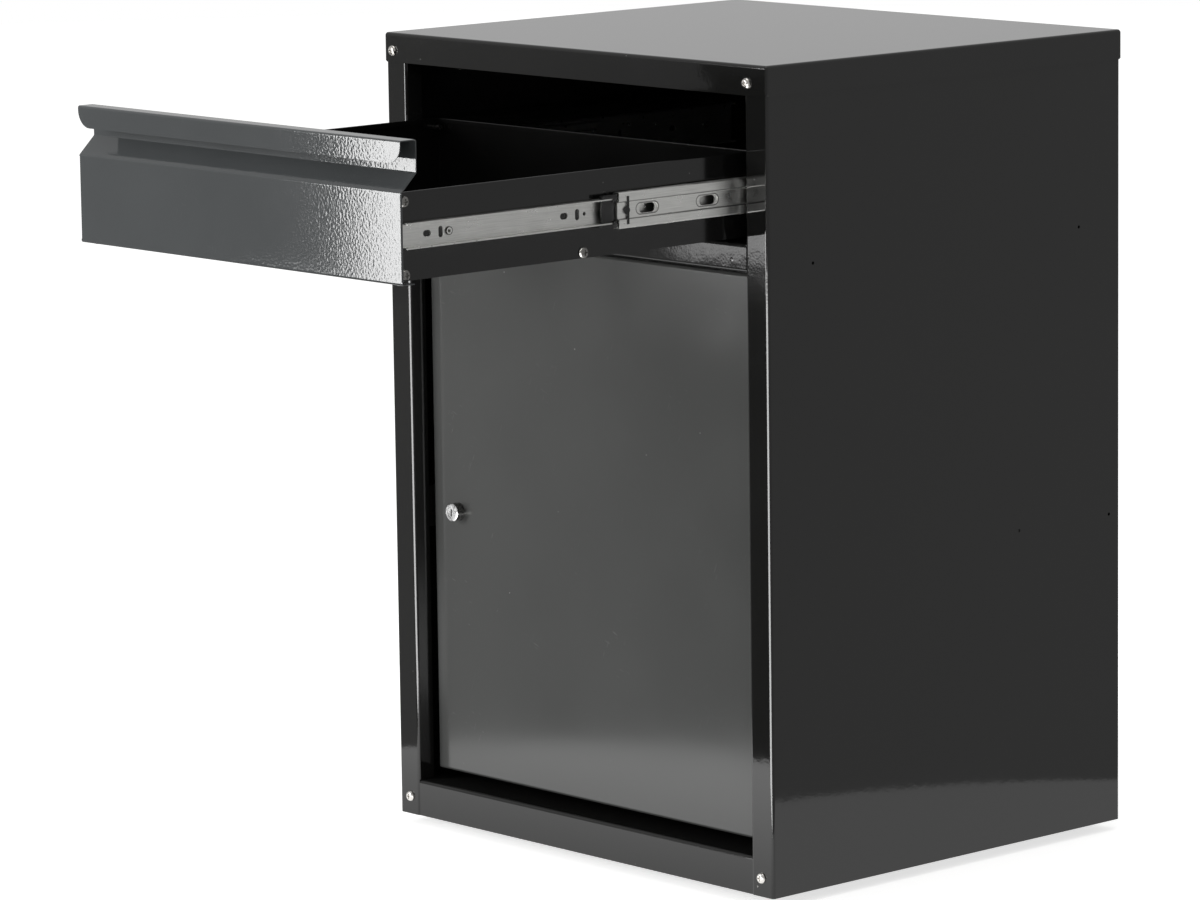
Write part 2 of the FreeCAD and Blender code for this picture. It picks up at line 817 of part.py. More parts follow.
# ---------------------------------------------------------------- lock pieces
def lock_point(depth):
    """Point on the lock's axis at a depth behind the door face."""
    return V(lock_x, door_face + depth, lock_height)


def lock_box(half_x, start, end, half_z):
    """Box centred on the lock's axis between two depths behind the door face."""
    x = (lock_x - half_x, lock_x + half_x)
    z = (lock_height - half_z, lock_height + half_z)
    return block(x, (door_face + start, door_face + end), z)


def lock_housing():
    head = rod(lock_head_radius, lock_point(-lock_head_length), lock_point(0))
    half_way = door_face - lock_head_length / 2
    rim = edges_where(head, lambda c, span: c.y < half_way and span.Length < sheet)
    head = head.makeChamfer(lock_head_chamfer, rim)
    barrel = rod(lock_barrel_radius, lock_point(0), lock_point(lock_barrel_length))
    reach = lock_head_length + lock_barrel_length
    bore = rod(plug_radius + running_gap, lock_point(-reach), lock_point(reach))
    return joined([head, barrel]).cut(bore)


def lock_nut():
    """Hexagon nut behind the door skin."""
    centre = lock_point(sheet)
    angles = [math.radians(60 * k) for k in range(6)]
    corners = [centre + V(math.cos(a), 0, math.sin(a)) * lock_nut_radius for a in angles]
    prism = flat_prism(corners, toward_back * lock_nut_height)
    return prism.cut(rod(lock_barrel_radius + lock_fit, lock_point(0), lock_point(lock_barrel_length)))


def lock_plug():
    """Key plug with a square end that drives the cam."""
    plug_front = plug_recess - lock_head_length
    square_end = cam_back - door_face
    half = plug_square / 2
    body = rod(plug_radius, lock_point(plug_front), lock_point(lock_barrel_length))
    square = lock_box(half, lock_barrel_length, square_end, half)
    slot_end = plug_front + key_slot_depth
    key_slot = lock_box(key_slot_width / 2, plug_front - sheet, slot_end, key_slot_height / 2)
    tapped = rod(cam_screw_radius + running_gap, lock_point(square_end - cam_screw_length - sheet),
                 lock_point(square_end))
    return joined([body, square]).cut([key_slot, tapped])


def lock_cam():
    """Flat cam, pointing up with the lock open."""
    half = cam_width / 2
    front_depth = cam_front - door_face
    back_depth = cam_back - door_face
    top = lock_height + cam_length
    arm = block((lock_x - half, lock_x + half), (cam_front, cam_back), (lock_height, top))
    tip = edges_where(arm, lambda c, span: c.z > top - sheet and abs(span.y) > sheet)
    arm = arm.makeFillet(cam_corner, tip)
    hub = rod(half, lock_point(front_depth), lock_point(back_depth))
    socket_half = plug_square / 2 + running_gap
    socket = lock_box(socket_half, front_depth - sheet, back_depth + sheet, socket_half)
    return joined([arm, hub]).cut(socket)


def cam_screw():
    seat = cam_back - door_face
    head = rod(cam_screw_head_radius, lock_point(seat), lock_point(seat + cam_screw_head_height))
    shank = rod(cam_screw_radius, lock_point(seat - cam_screw_length), lock_point(seat))
    slot_floor = seat + cam_screw_head_height / 2
    slot_end = seat + 2 * cam_screw_head_height
    drive = lock_box(cam_screw_head_radius, slot_floor, slot_end, recess_width / 2)
    return joined([head, shank]).cut(drive)


def lock_strike():
    """Plate on the hidden side of the left stile's return; the cam closes behind its edge."""
    plate_x = -opening_half - sheet
    return block((plate_x, plate_x - strike_sheet), (front + sheet + 2 * bend, lock_end),
                 (lock_height - strike_height / 2, lock_height + strike_height / 2))


# ---------------------------------------------------------------- slides, right side
def slide_member(section, radius, start, end):
    """Rolled member from (outward, up) points about the slide's centre line."""
    points = [(drawer_side_half + s, slide_height + h) for s, h in section]
    return folded(points, slide_sheet, radius, "y", start, end)


def channel(tip, web, half, lip):
    """Section of a channel open towards the drawer, with turned-in lips."""
    return [(tip, lip - half), (tip, -half), (web, -half), (web, half), (tip, half), (tip, half - lip)]


def web_slots(depth, start, places, long_way, size):
    """Slot tools through the web of a full-length member at places along it."""
    across = outward * (3 * slide_sheet)
    x = drawer_side_half + depth - slide_sheet
    centres = [V(x, along(start, slide_length, place), slide_height) for place in places]
    return [round_slot(centre, across, long_way, *size) for centre in centres]


def slide_outer():
    """Cabinet member."""
    section = channel(slide_thickness - outer_reach, slide_thickness, outer_half, outer_lip)
    member = slide_member(section, slide_bend, outer_front, outer_front + slide_length)
    cuts = web_slots(outer_web, outer_front, outer_level_places, toward_back, level_slot)
    cuts += web_slots(outer_web, outer_front, outer_upright_places, upward, upright_slot)
    cuts += [screw_hole(point, -outward, small_radius) for point in outer_screw_points()]
    return member.cut(cuts)


def slide_middle():
    """Middle member: a wide channel with a recessed band and slotted pockets along its web."""
    band_edge = band_half + band_depth
    section = channel(middle_tip, middle_web, middle_half, middle_lip)
    band = [
        (middle_web, -band_edge),
        (band_web, -band_half),
        (band_web, band_half),
        (middle_web, band_edge),
    ]
    section = section[:3] + band + section[3:]
    start = middle_start - band_tongue
    member = slide_member(section, middle_bend, start, middle_start + middle_length)
    x = (drawer_side_half, slide_wall)
    for side in (-1, 1):
        z = (slide_height + side * band_edge, slide_height + side * outer_half)
        member = member.cut(block(x, (start - sheet, middle_start), z))
    inner_face = drawer_side_half + band_web - slide_sheet
    for place in pocket_places:
        y = along(middle_start, middle_length, place)
        floor = V(inner_face - pocket_depth, y, slide_height)
        pressed = round_slot(floor, outward * slide_sheet, toward_back, pocket_length, pocket_width)
        hollow = round_slot(floor + outward * slide_sheet, outward * slide_thickness, toward_back,
                            pocket_length - 2 * slide_sheet, pocket_width - 2 * slide_sheet)
        slot = round_slot(floor - outward, outward * slide_thickness, toward_back,
                          pocket_slot_length, pocket_slot_width)
        member = joined([member, pressed]).cut([hollow, slot])
    return member


def slide_inner():
    """Drawer member: a narrow channel whose web lies on the drawer side."""
    section = [(inner_reach, inner_half), (0, inner_half), (0, -inner_half), (inner_reach, -inner_half)]
    member = slide_member(section, slide_bend, inner_start, inner_start + slide_length)
    cuts = web_slots(0, inner_start, inner_level_places, toward_back, level_slot)
    cuts += web_slots(0, inner_start, inner_upright_places, upward, upright_slot)
    pilot = V(drawer_side_half - sheet, inner_start + inner_pilot_place, slide_height)
    cuts.append(rod(pilot_radius, pilot, pilot + outward * (3 * slide_sheet)))
    cuts += [screw_hole(point, outward, small_radius) for point in inner_screw_points()]
    return member.cut(cuts)


def ball_row(row):
    """A row of balls: height from the slide's centre line, ball radius, depth from the drawer side."""
    if row == "inner":
        low, high = inner_half, middle_half - slide_sheet
        depth = (middle_tip + slide_sheet + inner_reach) / 2
    else:
        low, high = middle_half, outer_half - slide_sheet
        depth = (slide_thickness - outer_reach + outer_web - slide_bend + slide_sheet) / 2
    return (low + high) / 2, (high - low) / 2 - race_gap, depth


def ball_centres(row, start, length, count):
    height, radius, depth = ball_row(row)
    centres = []
    for side in (-1, 1):
        for y in evenly(start + 2 * radius, start + length - 2 * radius, count):
            centres.append(V(drawer_side_half + depth, y, slide_height + side * height))
    return centres


def cage_strips(row, start, length, count):
    """Strips above and below that space the balls."""
    height, radius, depth = ball_row(row)
    half = radius + cage_rim
    x = (drawer_side_half + depth - half, drawer_side_half + depth + half)
    strips = []
    for side in (-1, 1):
        middle = slide_height + side * height
        strips.append(block(x, (start, start + length), (middle - cage_sheet / 2, middle + cage_sheet / 2)))
    reach = upward * cage_sheet
    holes = [rod(radius + cage_hole_gap, centre - reach, centre + reach)
             for centre in ball_centres(row, start, length, count)]
    return [strip.cut(holes) for strip in strips]


def slide_block(depths, y, heights):
    """Box from depths off the drawer side and heights from the slide's centre line."""
    return block([drawer_side_half + s for s in depths], y, [slide_height + h for h in heights])


def inner_cage():
    """Ball spacer of the inner rows, with the plastic end block that shows ahead of the middle member."""
    y = (inner_cage_start - stop_block_length, inner_cage_start)
    outer_depth = middle_web - slide_sheet - block_gap
    crossing = inner_reach + block_gap
    inside = inner_half - slide_sheet - block_gap
    outside = inner_half + block_gap
    plate = slide_block((block_plate_depth, block_plate_depth + block_shell), y, (-inside, inside))
    nose_axis = V(drawer_side_half, y[0] + block_nose_radius, slide_height)
    plate = plate.common(rod(block_nose_radius, nose_axis, nose_axis + outward * slide_thickness))
    pieces = [plate]
    arm_depth = middle_tip + slide_sheet + block_gap
    y_back = (y[1] - 2 * block_shell, y[1])
    for side in (-1, 1):
        wall = side * (inside - cage_sheet)
        end = side * block_half
        pieces.append(slide_block((block_plate_depth, outer_depth), y_back, (side * inside, wall)))
        pieces.append(slide_block((crossing, outer_depth), y_back, (wall, end)))
        pieces.append(slide_block((arm_depth, outer_depth), y, (side * outside, end)))
    pieces += cage_strips("inner", inner_cage_start - cage_sheet, inner_cage_length, inner_ball_count)
    return joined(pieces)


def inner_balls():
    radius = ball_row("inner")[1]
    start = inner_cage_start - cage_sheet
    centres = ball_centres("inner", start, inner_cage_length, inner_ball_count)
    return grouped([Part.makeSphere(radius, centre) for centre in centres])


def outer_cage():
    """Ball spacer of the outer rows: two strips joined by a strap behind the middle member."""
    height, radius, depth = ball_row("outer")
    strips = cage_strips("outer", outer_cage_start, outer_cage_length, outer_ball_count)
    centre = outer_cage_start + bridge_place
    y = (centre - bridge_length / 2, centre + bridge_length / 2)
    strap_depth = middle_web + (middle_gap - bridge_sheet) / 2
    strap_back = strap_depth + bridge_sheet
    top = height + cage_sheet / 2
    pieces = [slide_block((strap_depth, strap_back), y, (-top, top))]
    for side in (-1, 1):
        link = (side * (height - cage_sheet / 2), side * top)
        pieces.append(slide_block((depth + radius, strap_back), y, link))
    return joined(pieces + strips)


def outer_balls():
    radius = ball_row("outer")[1]
    centres = ball_centres("outer", outer_cage_start, outer_cage_length, outer_ball_count)
    return grouped([Part.makeSphere(radius, centre) for centre in centres])


def slide_clip():
    """Plastic detent clip lying across the middle member's band."""
    y_centre = middle_start + clip_setback
    y = (y_centre - clip_width / 2, y_centre + clip_width / 2)
    top = middle_web + clip_rise
    inside = band_half - seat_gap
    body = slide_block((band_web, top), y, (-inside, inside))
    bar = slide_block((middle_web, top), y, (-clip_half, clip_half))
    centre = V(drawer_side_half + band_web, y_centre - clip_width / 2, slide_height)
    nose = rod(clip_nose_radius, centre, centre + outward * (band_depth + clip_rise))
    return joined([body, bar, nose])


def slide_bracket():
    """Hat channel on the side panel that carries the slide at the edge of the opening."""
    low, high = slide_height - bracket_half, slide_height + bracket_half
    flange_x = inside_half - bracket_sheet
    path = [
        (flange_x, high + bracket_flange),
        (flange_x, high),
        (slide_wall, high),
        (slide_wall, low),
        (flange_x, low),
        (flange_x, low - bracket_flange),
    ]
    bracket = folded(path, bracket_sheet, bend, "y", outer_front, pan_rear - bracket_rear_gap)
    return bracket.cut([screw_hole(point, -outward, small_radius) for point in outer_screw_points()])


# ---------------------------------------------------------------- drawer pieces
def drawer_side():
    """Right drawer side with its top edge folded inwards."""
    outer, inner = drawer_side_half, drawer_side_half - hem_width
    path = [(outer, drawer_bottom), (outer, drawer_top), (inner, drawer_top), (inner, drawer_top - hem_drop)]
    side = folded(path, drawer_sheet, hem_bend, "y", face_plane + face_hem + seat_gap, drawer_rear)
    return side.cut(side_holes(drawer_screw_points()) + side_holes(inner_screw_points(), small_radius))


def drawer_bottom_tray():
    """Bottom of the drawer with flanges turned up inside the drawer sides."""
    half = drawer_inside
    path = [
        (-half, drawer_bottom + tray_flange),
        (-half, drawer_bottom),
        (half, drawer_bottom),
        (half, drawer_bottom + tray_flange),
    ]
    start = face_plane + face_flange + seat_gap
    end = drawer_rear - drawer_sheet - seat_gap
    tray = folded(path, drawer_sheet, drawer_bend, "y", start, end)
    tongue_half = half - face_sheet - face_bend - seat_gap
    tongue_y = (face_plane + face_sheet + face_bend + seat_gap, start + sheet)
    tongue = block((-tongue_half, tongue_half), tongue_y, (drawer_bottom, drawer_bottom + drawer_sheet))
    cuts = side_holes(drawer_screw_points())
    cuts += [screw_hole(point, -upward) for point in under_screw_points()]
    return joined([tray, tongue]).cut(cuts)


def drawer_back():
    """Back of the drawer with a folded top edge and side flanges."""
    rear = drawer_rear
    path = [
        (rear, drawer_bottom),
        (rear, drawer_top),
        (rear - hem_width, drawer_top),
        (rear - hem_width, drawer_top - hem_drop),
    ]
    plate_half = drawer_side_half - hem_width - seat_gap
    plate = folded(path, drawer_sheet, hem_bend, "x", -plate_half, plate_half)
    half = drawer_inside
    wrap = [(half, rear - back_flange), (half, rear), (-half, rear), (-half, rear - back_flange)]
    flanges = folded(wrap, drawer_sheet, drawer_bend, "z", drawer_bottom, drawer_top - hem_drop - seat_gap)
    tray_room = block((-half, half), (rear - 2 * back_flange, rear - drawer_sheet),
                      (drawer_bottom - sheet, drawer_bottom + tray_flange + seat_gap))
    return joined([plate, flanges.cut(tray_room)]).cut(side_holes(drawer_screw_points()))


def drawer_front():
    """Drawer face that slopes back above to a full-width finger pull with a turned-down lip."""
    wall = face_plane + pull_depth
    lip_low = pull_top - pull_lip
    path = [
        (face_plane + face_sheet, lip_low),
        (face_plane + face_sheet, pull_top - face_sheet),
        (wall, pull_top - face_sheet),
        (wall, drawer_top + pull_slope_rise),
        (face_plane, drawer_top),
        (face_plane, face_bottom),
        (face_plane + face_bottom_flange, face_bottom),
    ]
    body = folded(path, face_sheet, face_bend, "x", -face_half, face_half)
    cuts = []
    for side in (left, right):
        corner = V(side * face_half, face_plane, lip_low)
        depth = toward_back * (2 * face_sheet)
        cuts.append(corner_cutter(corner, V(-side, 0, 0), upward, pull_lip_round, depth))
    edge_low, edge_high = drawer_bottom, drawer_top - face_sheet
    edge_path = [
        (face_half - face_hem, face_plane),
        (face_half, face_plane),
        (face_half, face_plane + face_hem),
        (drawer_inside, face_plane + face_hem),
        (drawer_inside, face_plane + face_flange),
    ]
    edge = folded(edge_path, face_sheet, hem_bend, "z", edge_low, edge_high)
    hem_room = block((0, drawer_side_half), (face_plane + face_hem, face_plane + 2 * face_flange),
                     (drawer_top - hem_drop - seat_gap, drawer_top))
    edge = edge.cut(hem_room)
    for side in (left, right):
        cuts.append(block((side * (face_half - face_hem), side * (face_half + sheet)),
                          (face_plane - sheet, face_plane + face_hem + sheet), (edge_low, edge_high)))
    front_piece = joined([body.cut(cuts), edge, mirrored(edge)])
    holes = side_holes(drawer_screw_points())
    holes += [screw_hole(point, -upward) for point in under_screw_points()]
    return front_piece.cut(holes)


def drawer_screws():
    """Screws through the drawer's sides and up into its bottom under the face."""
    shapes = []
    for point in drawer_screw_points():
        screw = pan_screw(point, outward)
        shapes += [screw, mirrored(screw)]
    for point in under_screw_points():
        shapes.append(pan_screw(point, -upward, small_length, small_radius, small_head_radius,
                                under_head_height))
    return grouped(shapes)


def drawer_member_screws():
    return both_sides(grouped([flat_screw(point, outward) for point in inner_screw_points()]))


# ---------------------------------------------------------------- all the pieces
pieces = {
    "side_panel_left": side_panel(left),
    "side_panel_right": side_panel(right),
    "back_panel": back_panel(),
    "base_pan": base_pan(),
    "base_runner_left": base_runner(left),
    "base_runner_right": base_runner(right),
    "feet": feet(),
    "foot_screws": foot_screws(),
    "lid": lid(),
    "divider_rail": divider_rail(),
    "divider_rivets": divider_rivets(),
    "drawer_bottom": drawer_bottom_tray(),
    "drawer_back": drawer_back(),
    "drawer_front": drawer_front(),
    "drawer_screws": drawer_screws(),
    "door_panel": door_panel(),
    "door_stiffener": door_stiffener(),
    "hinge_pin_upper": hinge_pin_upper(),
    "hinge_pin_lower": hinge_pin_lower(),
    "hinge_bushes": hinge_bushes(),
    "lock_housing": lock_housing(),
    "lock_nut": lock_nut(),
    "lock_plug": lock_plug(),
    "lock_cam": lock_cam(),
    "cam_screw": cam_screw(),
    "lock_strike": lock_strike(),
}

right_pieces = {
    "slide_bracket": slide_bracket(),
    "slide_outer": slide_outer(),
    "slide_middle": slide_middle(),
    "slide_inner": slide_inner(),
    "inner_cage": inner_cage(),
    "inner_balls": inner_balls(),
    "outer_cage": outer_cage(),
    "outer_balls": outer_balls(),
    "slide_clip": slide_clip(),
    "drawer_side": drawer_side(),
}
for name, shape in right_pieces.items():
    pieces[name + "_right"] = shape
    pieces[name + "_left"] = mirrored(shape)

lid_front_points, lid_rear_points = lid_screw_points()
base_front_points, base_rear_points = base_screw_points()
pieces["lid_screws"] = grouped(
    [pan_screw(point, toward_front) for point in lid_front_points]
    + [pan_screw(point, toward_back) for point in lid_rear_points]
)
pieces["base_screws"] = grouped(
    [pan_screw(point, toward_front) for point in base_front_points]
    + [pan_screw(point, toward_back) for point in base_rear_points]
)
pieces["back_screws"] = grouped([pan_screw(point, toward_back) for point in back_screw_points()])
pieces["drawer_member_screws"] = drawer_member_screws()
pieces["slide_screws"] = both_sides(grouped([flat_screw(point, -outward) for point in outer_screw_points()]))

os.makedirs("parts", exist_ok=True)
for name, shape in pieces.items():
    shape.exportStep("parts/" + name + ".step")
    print(name, len(shape.Solids), round(shape.Volume, 1), shape.isValid())
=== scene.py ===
import math

import bpy
from mathutils import Matrix, Vector


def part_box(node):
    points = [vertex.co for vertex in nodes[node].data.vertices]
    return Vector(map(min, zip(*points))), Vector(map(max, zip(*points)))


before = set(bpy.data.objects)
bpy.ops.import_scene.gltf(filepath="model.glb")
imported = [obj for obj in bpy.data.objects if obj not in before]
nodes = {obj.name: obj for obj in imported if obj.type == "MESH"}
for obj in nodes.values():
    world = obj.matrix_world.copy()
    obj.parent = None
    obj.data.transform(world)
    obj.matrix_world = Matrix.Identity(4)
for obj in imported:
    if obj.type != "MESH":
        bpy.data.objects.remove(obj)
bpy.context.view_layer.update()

# Looks of a tool chest side locker: gloss black powder-coated sheet steel, a charcoal drawer front and
# door, zinc-plated slides and a chrome cam lock. Metres, in the frame of the CAD model.

MM = 0.001
MICRON = 0.000001

# ---------------------------------------------------------------- places on the cabinet
FRONT_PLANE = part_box("side_panel_right")[0].y          # front of the stiles
FACE_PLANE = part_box("drawer_front")[0].y               # front of the pulled-out drawer
SLIDE_HEIGHT = sum(corner.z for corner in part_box("slide_middle_right")) / 2
MEMBER_SCREW_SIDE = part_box("drawer_member_screws")[1].x        # outer ends of the screw heads

# ---------------------------------------------------------------- view
VIEW_AZIMUTH = math.radians(47.79)
VIEW_ELEVATION = math.radians(9.25)
VIEW_ROLL = math.radians(-0.78)
CAMERA_PLACE = Vector((4.0457, -3.8694, 1.2810))
FOCAL_LENGTH_MM = 177.6
SENSOR_MM = 36.0
CLIP_END = 60.0

# ---------------------------------------------------------------- lamps
LAMP_TARGET = (0.0, 0.0, 0.4)
KEY_PLACE = (-1.477, -2.533, 0.841)
SPILL_PLACE = (-2.008, -2.351, 0.216)
SPILL_TARGET = (-1.572, -1.603, 0.062)
TOP_PLACE = (0.2, -0.3, 3.2)

# ---------------------------------------------------------------- studio
PLAIN_LIGHT = 0.49            # even light from all around
STUDIO_GREY = 0.46            # walls of the studio, as gloss surfaces show them
BEHIND_GREY = 0.59            # the same behind the cabinet
FLOOR_COLOUR = (0.86, 0.86, 0.85, 1.0)
FLOOR_UNSEEN = (0.36, 0.36, 0.355, 1.0)        # what the floor throws back up at the cabinet
FLOOR_LIFT = 0.68             # takes the floor to white for the camera, and leaves the shadow
FLOOR_RADIUS = 9.0
FLOOR_RINGS = 12
FLOOR_SPOKES = 96
# The table top and the low panels below are a glow painted on the floor for gloss rays only, which puts
# painted highlights on the cabinet
TABLE_RADIUS = 0.62           # white round table top under the cabinet
TABLE_BLUR = 0.02             # width of its edge
TABLE_CENTRE = Vector((-0.03, -0.06, 0.0))
TABLE_FRONT = 2.45            # its brightness in gloss up to the y below, in front of the cabinet
TABLE_FRONT_DEPTH = -0.70
TABLE_SIDE = 1.1              # the same from the y below on, beside the cabinet
TABLE_SIDE_DEPTH = -0.15
PANEL_APEX = Vector((0.25, FRONT_PLANE, 0.0))  # near the right front corner: the panels' edges meet here
PANEL_REACH = 4.1
PANEL_BLUR = 0.3
PANEL_BRIGHTNESS = 13.0
# Glow painted on the floor in front of the cabinet, seen only in gloss as low panels: degrees about the
# apex and brightness, which changes evenly between
PANELS = ((-180.0, 0.36), (-141.0, 0.36), (-139.5, 0.05), (-121.0, 0.05), (-120.0, PANEL_BRIGHTNESS),
          (-60.0, PANEL_BRIGHTNESS), (-58.0, 0.46), (180.0, 0.46))
# The same past their reach
FAR_PANELS = ((-180.0, 0.27), (-75.0, 0.27), (-50.0, 0.46), (180.0, 0.46))

# ---------------------------------------------------------------- colours, linear
BLACK_COAT = (0.0115, 0.0115, 0.0110, 1.0)
DRAWER_COAT = (0.0048, 0.0048, 0.0046, 1.0)
CHARCOAL_COAT = (0.0745, 0.0760, 0.0740, 1.0)
FACE_COAT = (0.0670, 0.0715, 0.0735, 1.0)
BARE_STEEL = (0.42, 0.42, 0.40, 1.0)
DUST = (0.45, 0.45, 0.44, 1.0)
ZINC = (0.70, 0.70, 0.68, 1.0)
ZINC_RUBBED = (0.78, 0.78, 0.755, 1.0)
NICKEL = (0.58, 0.56, 0.53, 1.0)
# Lighter and darker copies of the same nickel: painted light and painted shade on the screws
NICKEL_PAINTED_LIT = (0.72, 0.70, 0.67, 1.0)
NICKEL_PAINTED_SHADED = (0.25, 0.245, 0.235, 1.0)
CHROME = (0.78, 0.78, 0.78, 1.0)
STEEL = (0.62, 0.62, 0.61, 1.0)
# Painted shade: dark colour for the lock's turned side faces
LOCK_SIDE_SHADE = (0.16, 0.16, 0.155, 1.0)
# Grease and painted shade in the member screws' drives and round their heads
GREASE_AND_SHADE = (0.03, 0.029, 0.027, 1.0)
BLACK_PLASTIC = (0.0045, 0.0045, 0.0045, 1.0)
NYLON = (0.72, 0.70, 0.64, 1.0)

# ---------------------------------------------------------------- finish of coats and strip
COAT_IOR = 1.5
COAT_GRAIN = 2.2 * MM         # width of the orange peel's bumps
SWELL_SIZE = 12 * MM          # width of the shallow waves under them
NIB_HEIGHT = 60 * MICRON
CHIP_DEPTH = 70 * MICRON
DIMPLE_DEPTH = 0.4 * MM
ROLLED_GRAIN = (0.4 * MM, 30 * MM, 0.4 * MM)           # lines along y
# Width of the painted shade line round the pockets
POCKET_SHADE_WIDTH = 0.7 * MM

# ---------------------------------------------------------------- marks at chosen places, with a radius
CHIPS = (
    ((0.2405, FRONT_PLANE, 0.0188), 1.3 * MM),
    ((0.2480, FRONT_PLANE, 0.0305), 0.7 * MM),
    ((0.2602, FRONT_PLANE + 0.5 * MM, 0.1050), 0.9 * MM),
    ((0.2606, FRONT_PLANE + 2.0 * MM, 0.1180), 0.6 * MM),
)
DIMPLES = (
    ((0.1985, FACE_PLANE, 0.6755), 1.6 * MM),
    ((0.1990, FACE_PLANE, 0.6215), 1.6 * MM),
)
# Middle of the drawer members' screw heads, on both sides
MEMBER_SCREWS = [
    (side * MEMBER_SCREW_SIDE, y, SLIDE_HEIGHT)
    for side in (-1, 1)
    for y in (-0.5718, -0.3840, -0.2540)
]
# Pockets and recessed band of the middle members, with painted shade along their edges: centre in y and z,
# half length, radius
POCKETS = (
    ((-0.3469, SLIDE_HEIGHT), 8.5 * MM, 5.1 * MM),
    ((-0.2740, SLIDE_HEIGHT), 8.5 * MM, 5.1 * MM),
    ((-0.1800, SLIDE_HEIGHT), 215.0 * MM, 7.7 * MM),
)


# ---------------------------------------------------------------- shader helpers
class Graph:
    """A node tree being built."""

    def __init__(self, tree):
        self.tree = tree

    def add(self, kind, inputs=(), **settings):
        """A node with its settings and inputs: an input is a number, a colour or another node's output."""
        node = self.tree.nodes.new(kind)
        for name, value in settings.items():
            setattr(node, name, value)
        for key, value in dict(inputs).items():
            if isinstance(value, bpy.types.NodeSocket):
                self.tree.links.new(value, node.inputs[key])
            else:
                node.inputs[key].default_value = value
        return node

    def maths(self, operation, *values):
        """Arithmetic on numbers and outputs."""
        return self.add("ShaderNodeMath", dict(enumerate(values)), operation=operation).outputs[0]

    def vector_maths(self, operation, first, second):
        """The outputs of arithmetic on two vectors."""
        return self.add("ShaderNodeVectorMath", {0: first, 1: second}, operation=operation).outputs

    def distance(self, place, point):
        return self.vector_maths("DISTANCE", place, point)["Value"]

    def axes(self, vector):
        """The X, Y and Z outputs of a vector."""
        return self.add("ShaderNodeSeparateXYZ", {"Vector": vector}).outputs

    def ramp(self, value, low, high, to_low=0.0, to_high=1.0):
        """A value taken from one range to another, smoothly, and kept inside it."""
        inputs = {"Value": value, "From Min": low, "From Max": high, "To Min": to_low, "To Max": to_high}
        return self.add("ShaderNodeMapRange", inputs, interpolation_type="SMOOTHSTEP").outputs[0]

    def mixed(self, factor, first, second):
        """A colour between two."""
        inputs = {0: factor, 6: first, 7: second}
        return self.add("ShaderNodeMix", inputs, data_type="RGBA").outputs[2]

    def chosen(self, factor, first, second):
        """A number between two."""
        inputs = {0: factor, 2: first, 3: second}
        return self.add("ShaderNodeMix", inputs).outputs[0]

    def seen_by_camera(self):
        """1 for rays straight from the camera, 0 for the others."""
        return self.add("ShaderNodeLightPath").outputs["Is Camera Ray"]

    def seen_in_gloss(self):
        """1 for rays that have been mirrored or let through, 0 for the others."""
        rays = self.add("ShaderNodeLightPath").outputs
        return self.maths("MAXIMUM", rays["Is Glossy Ray"], rays["Is Transmission Ray"])


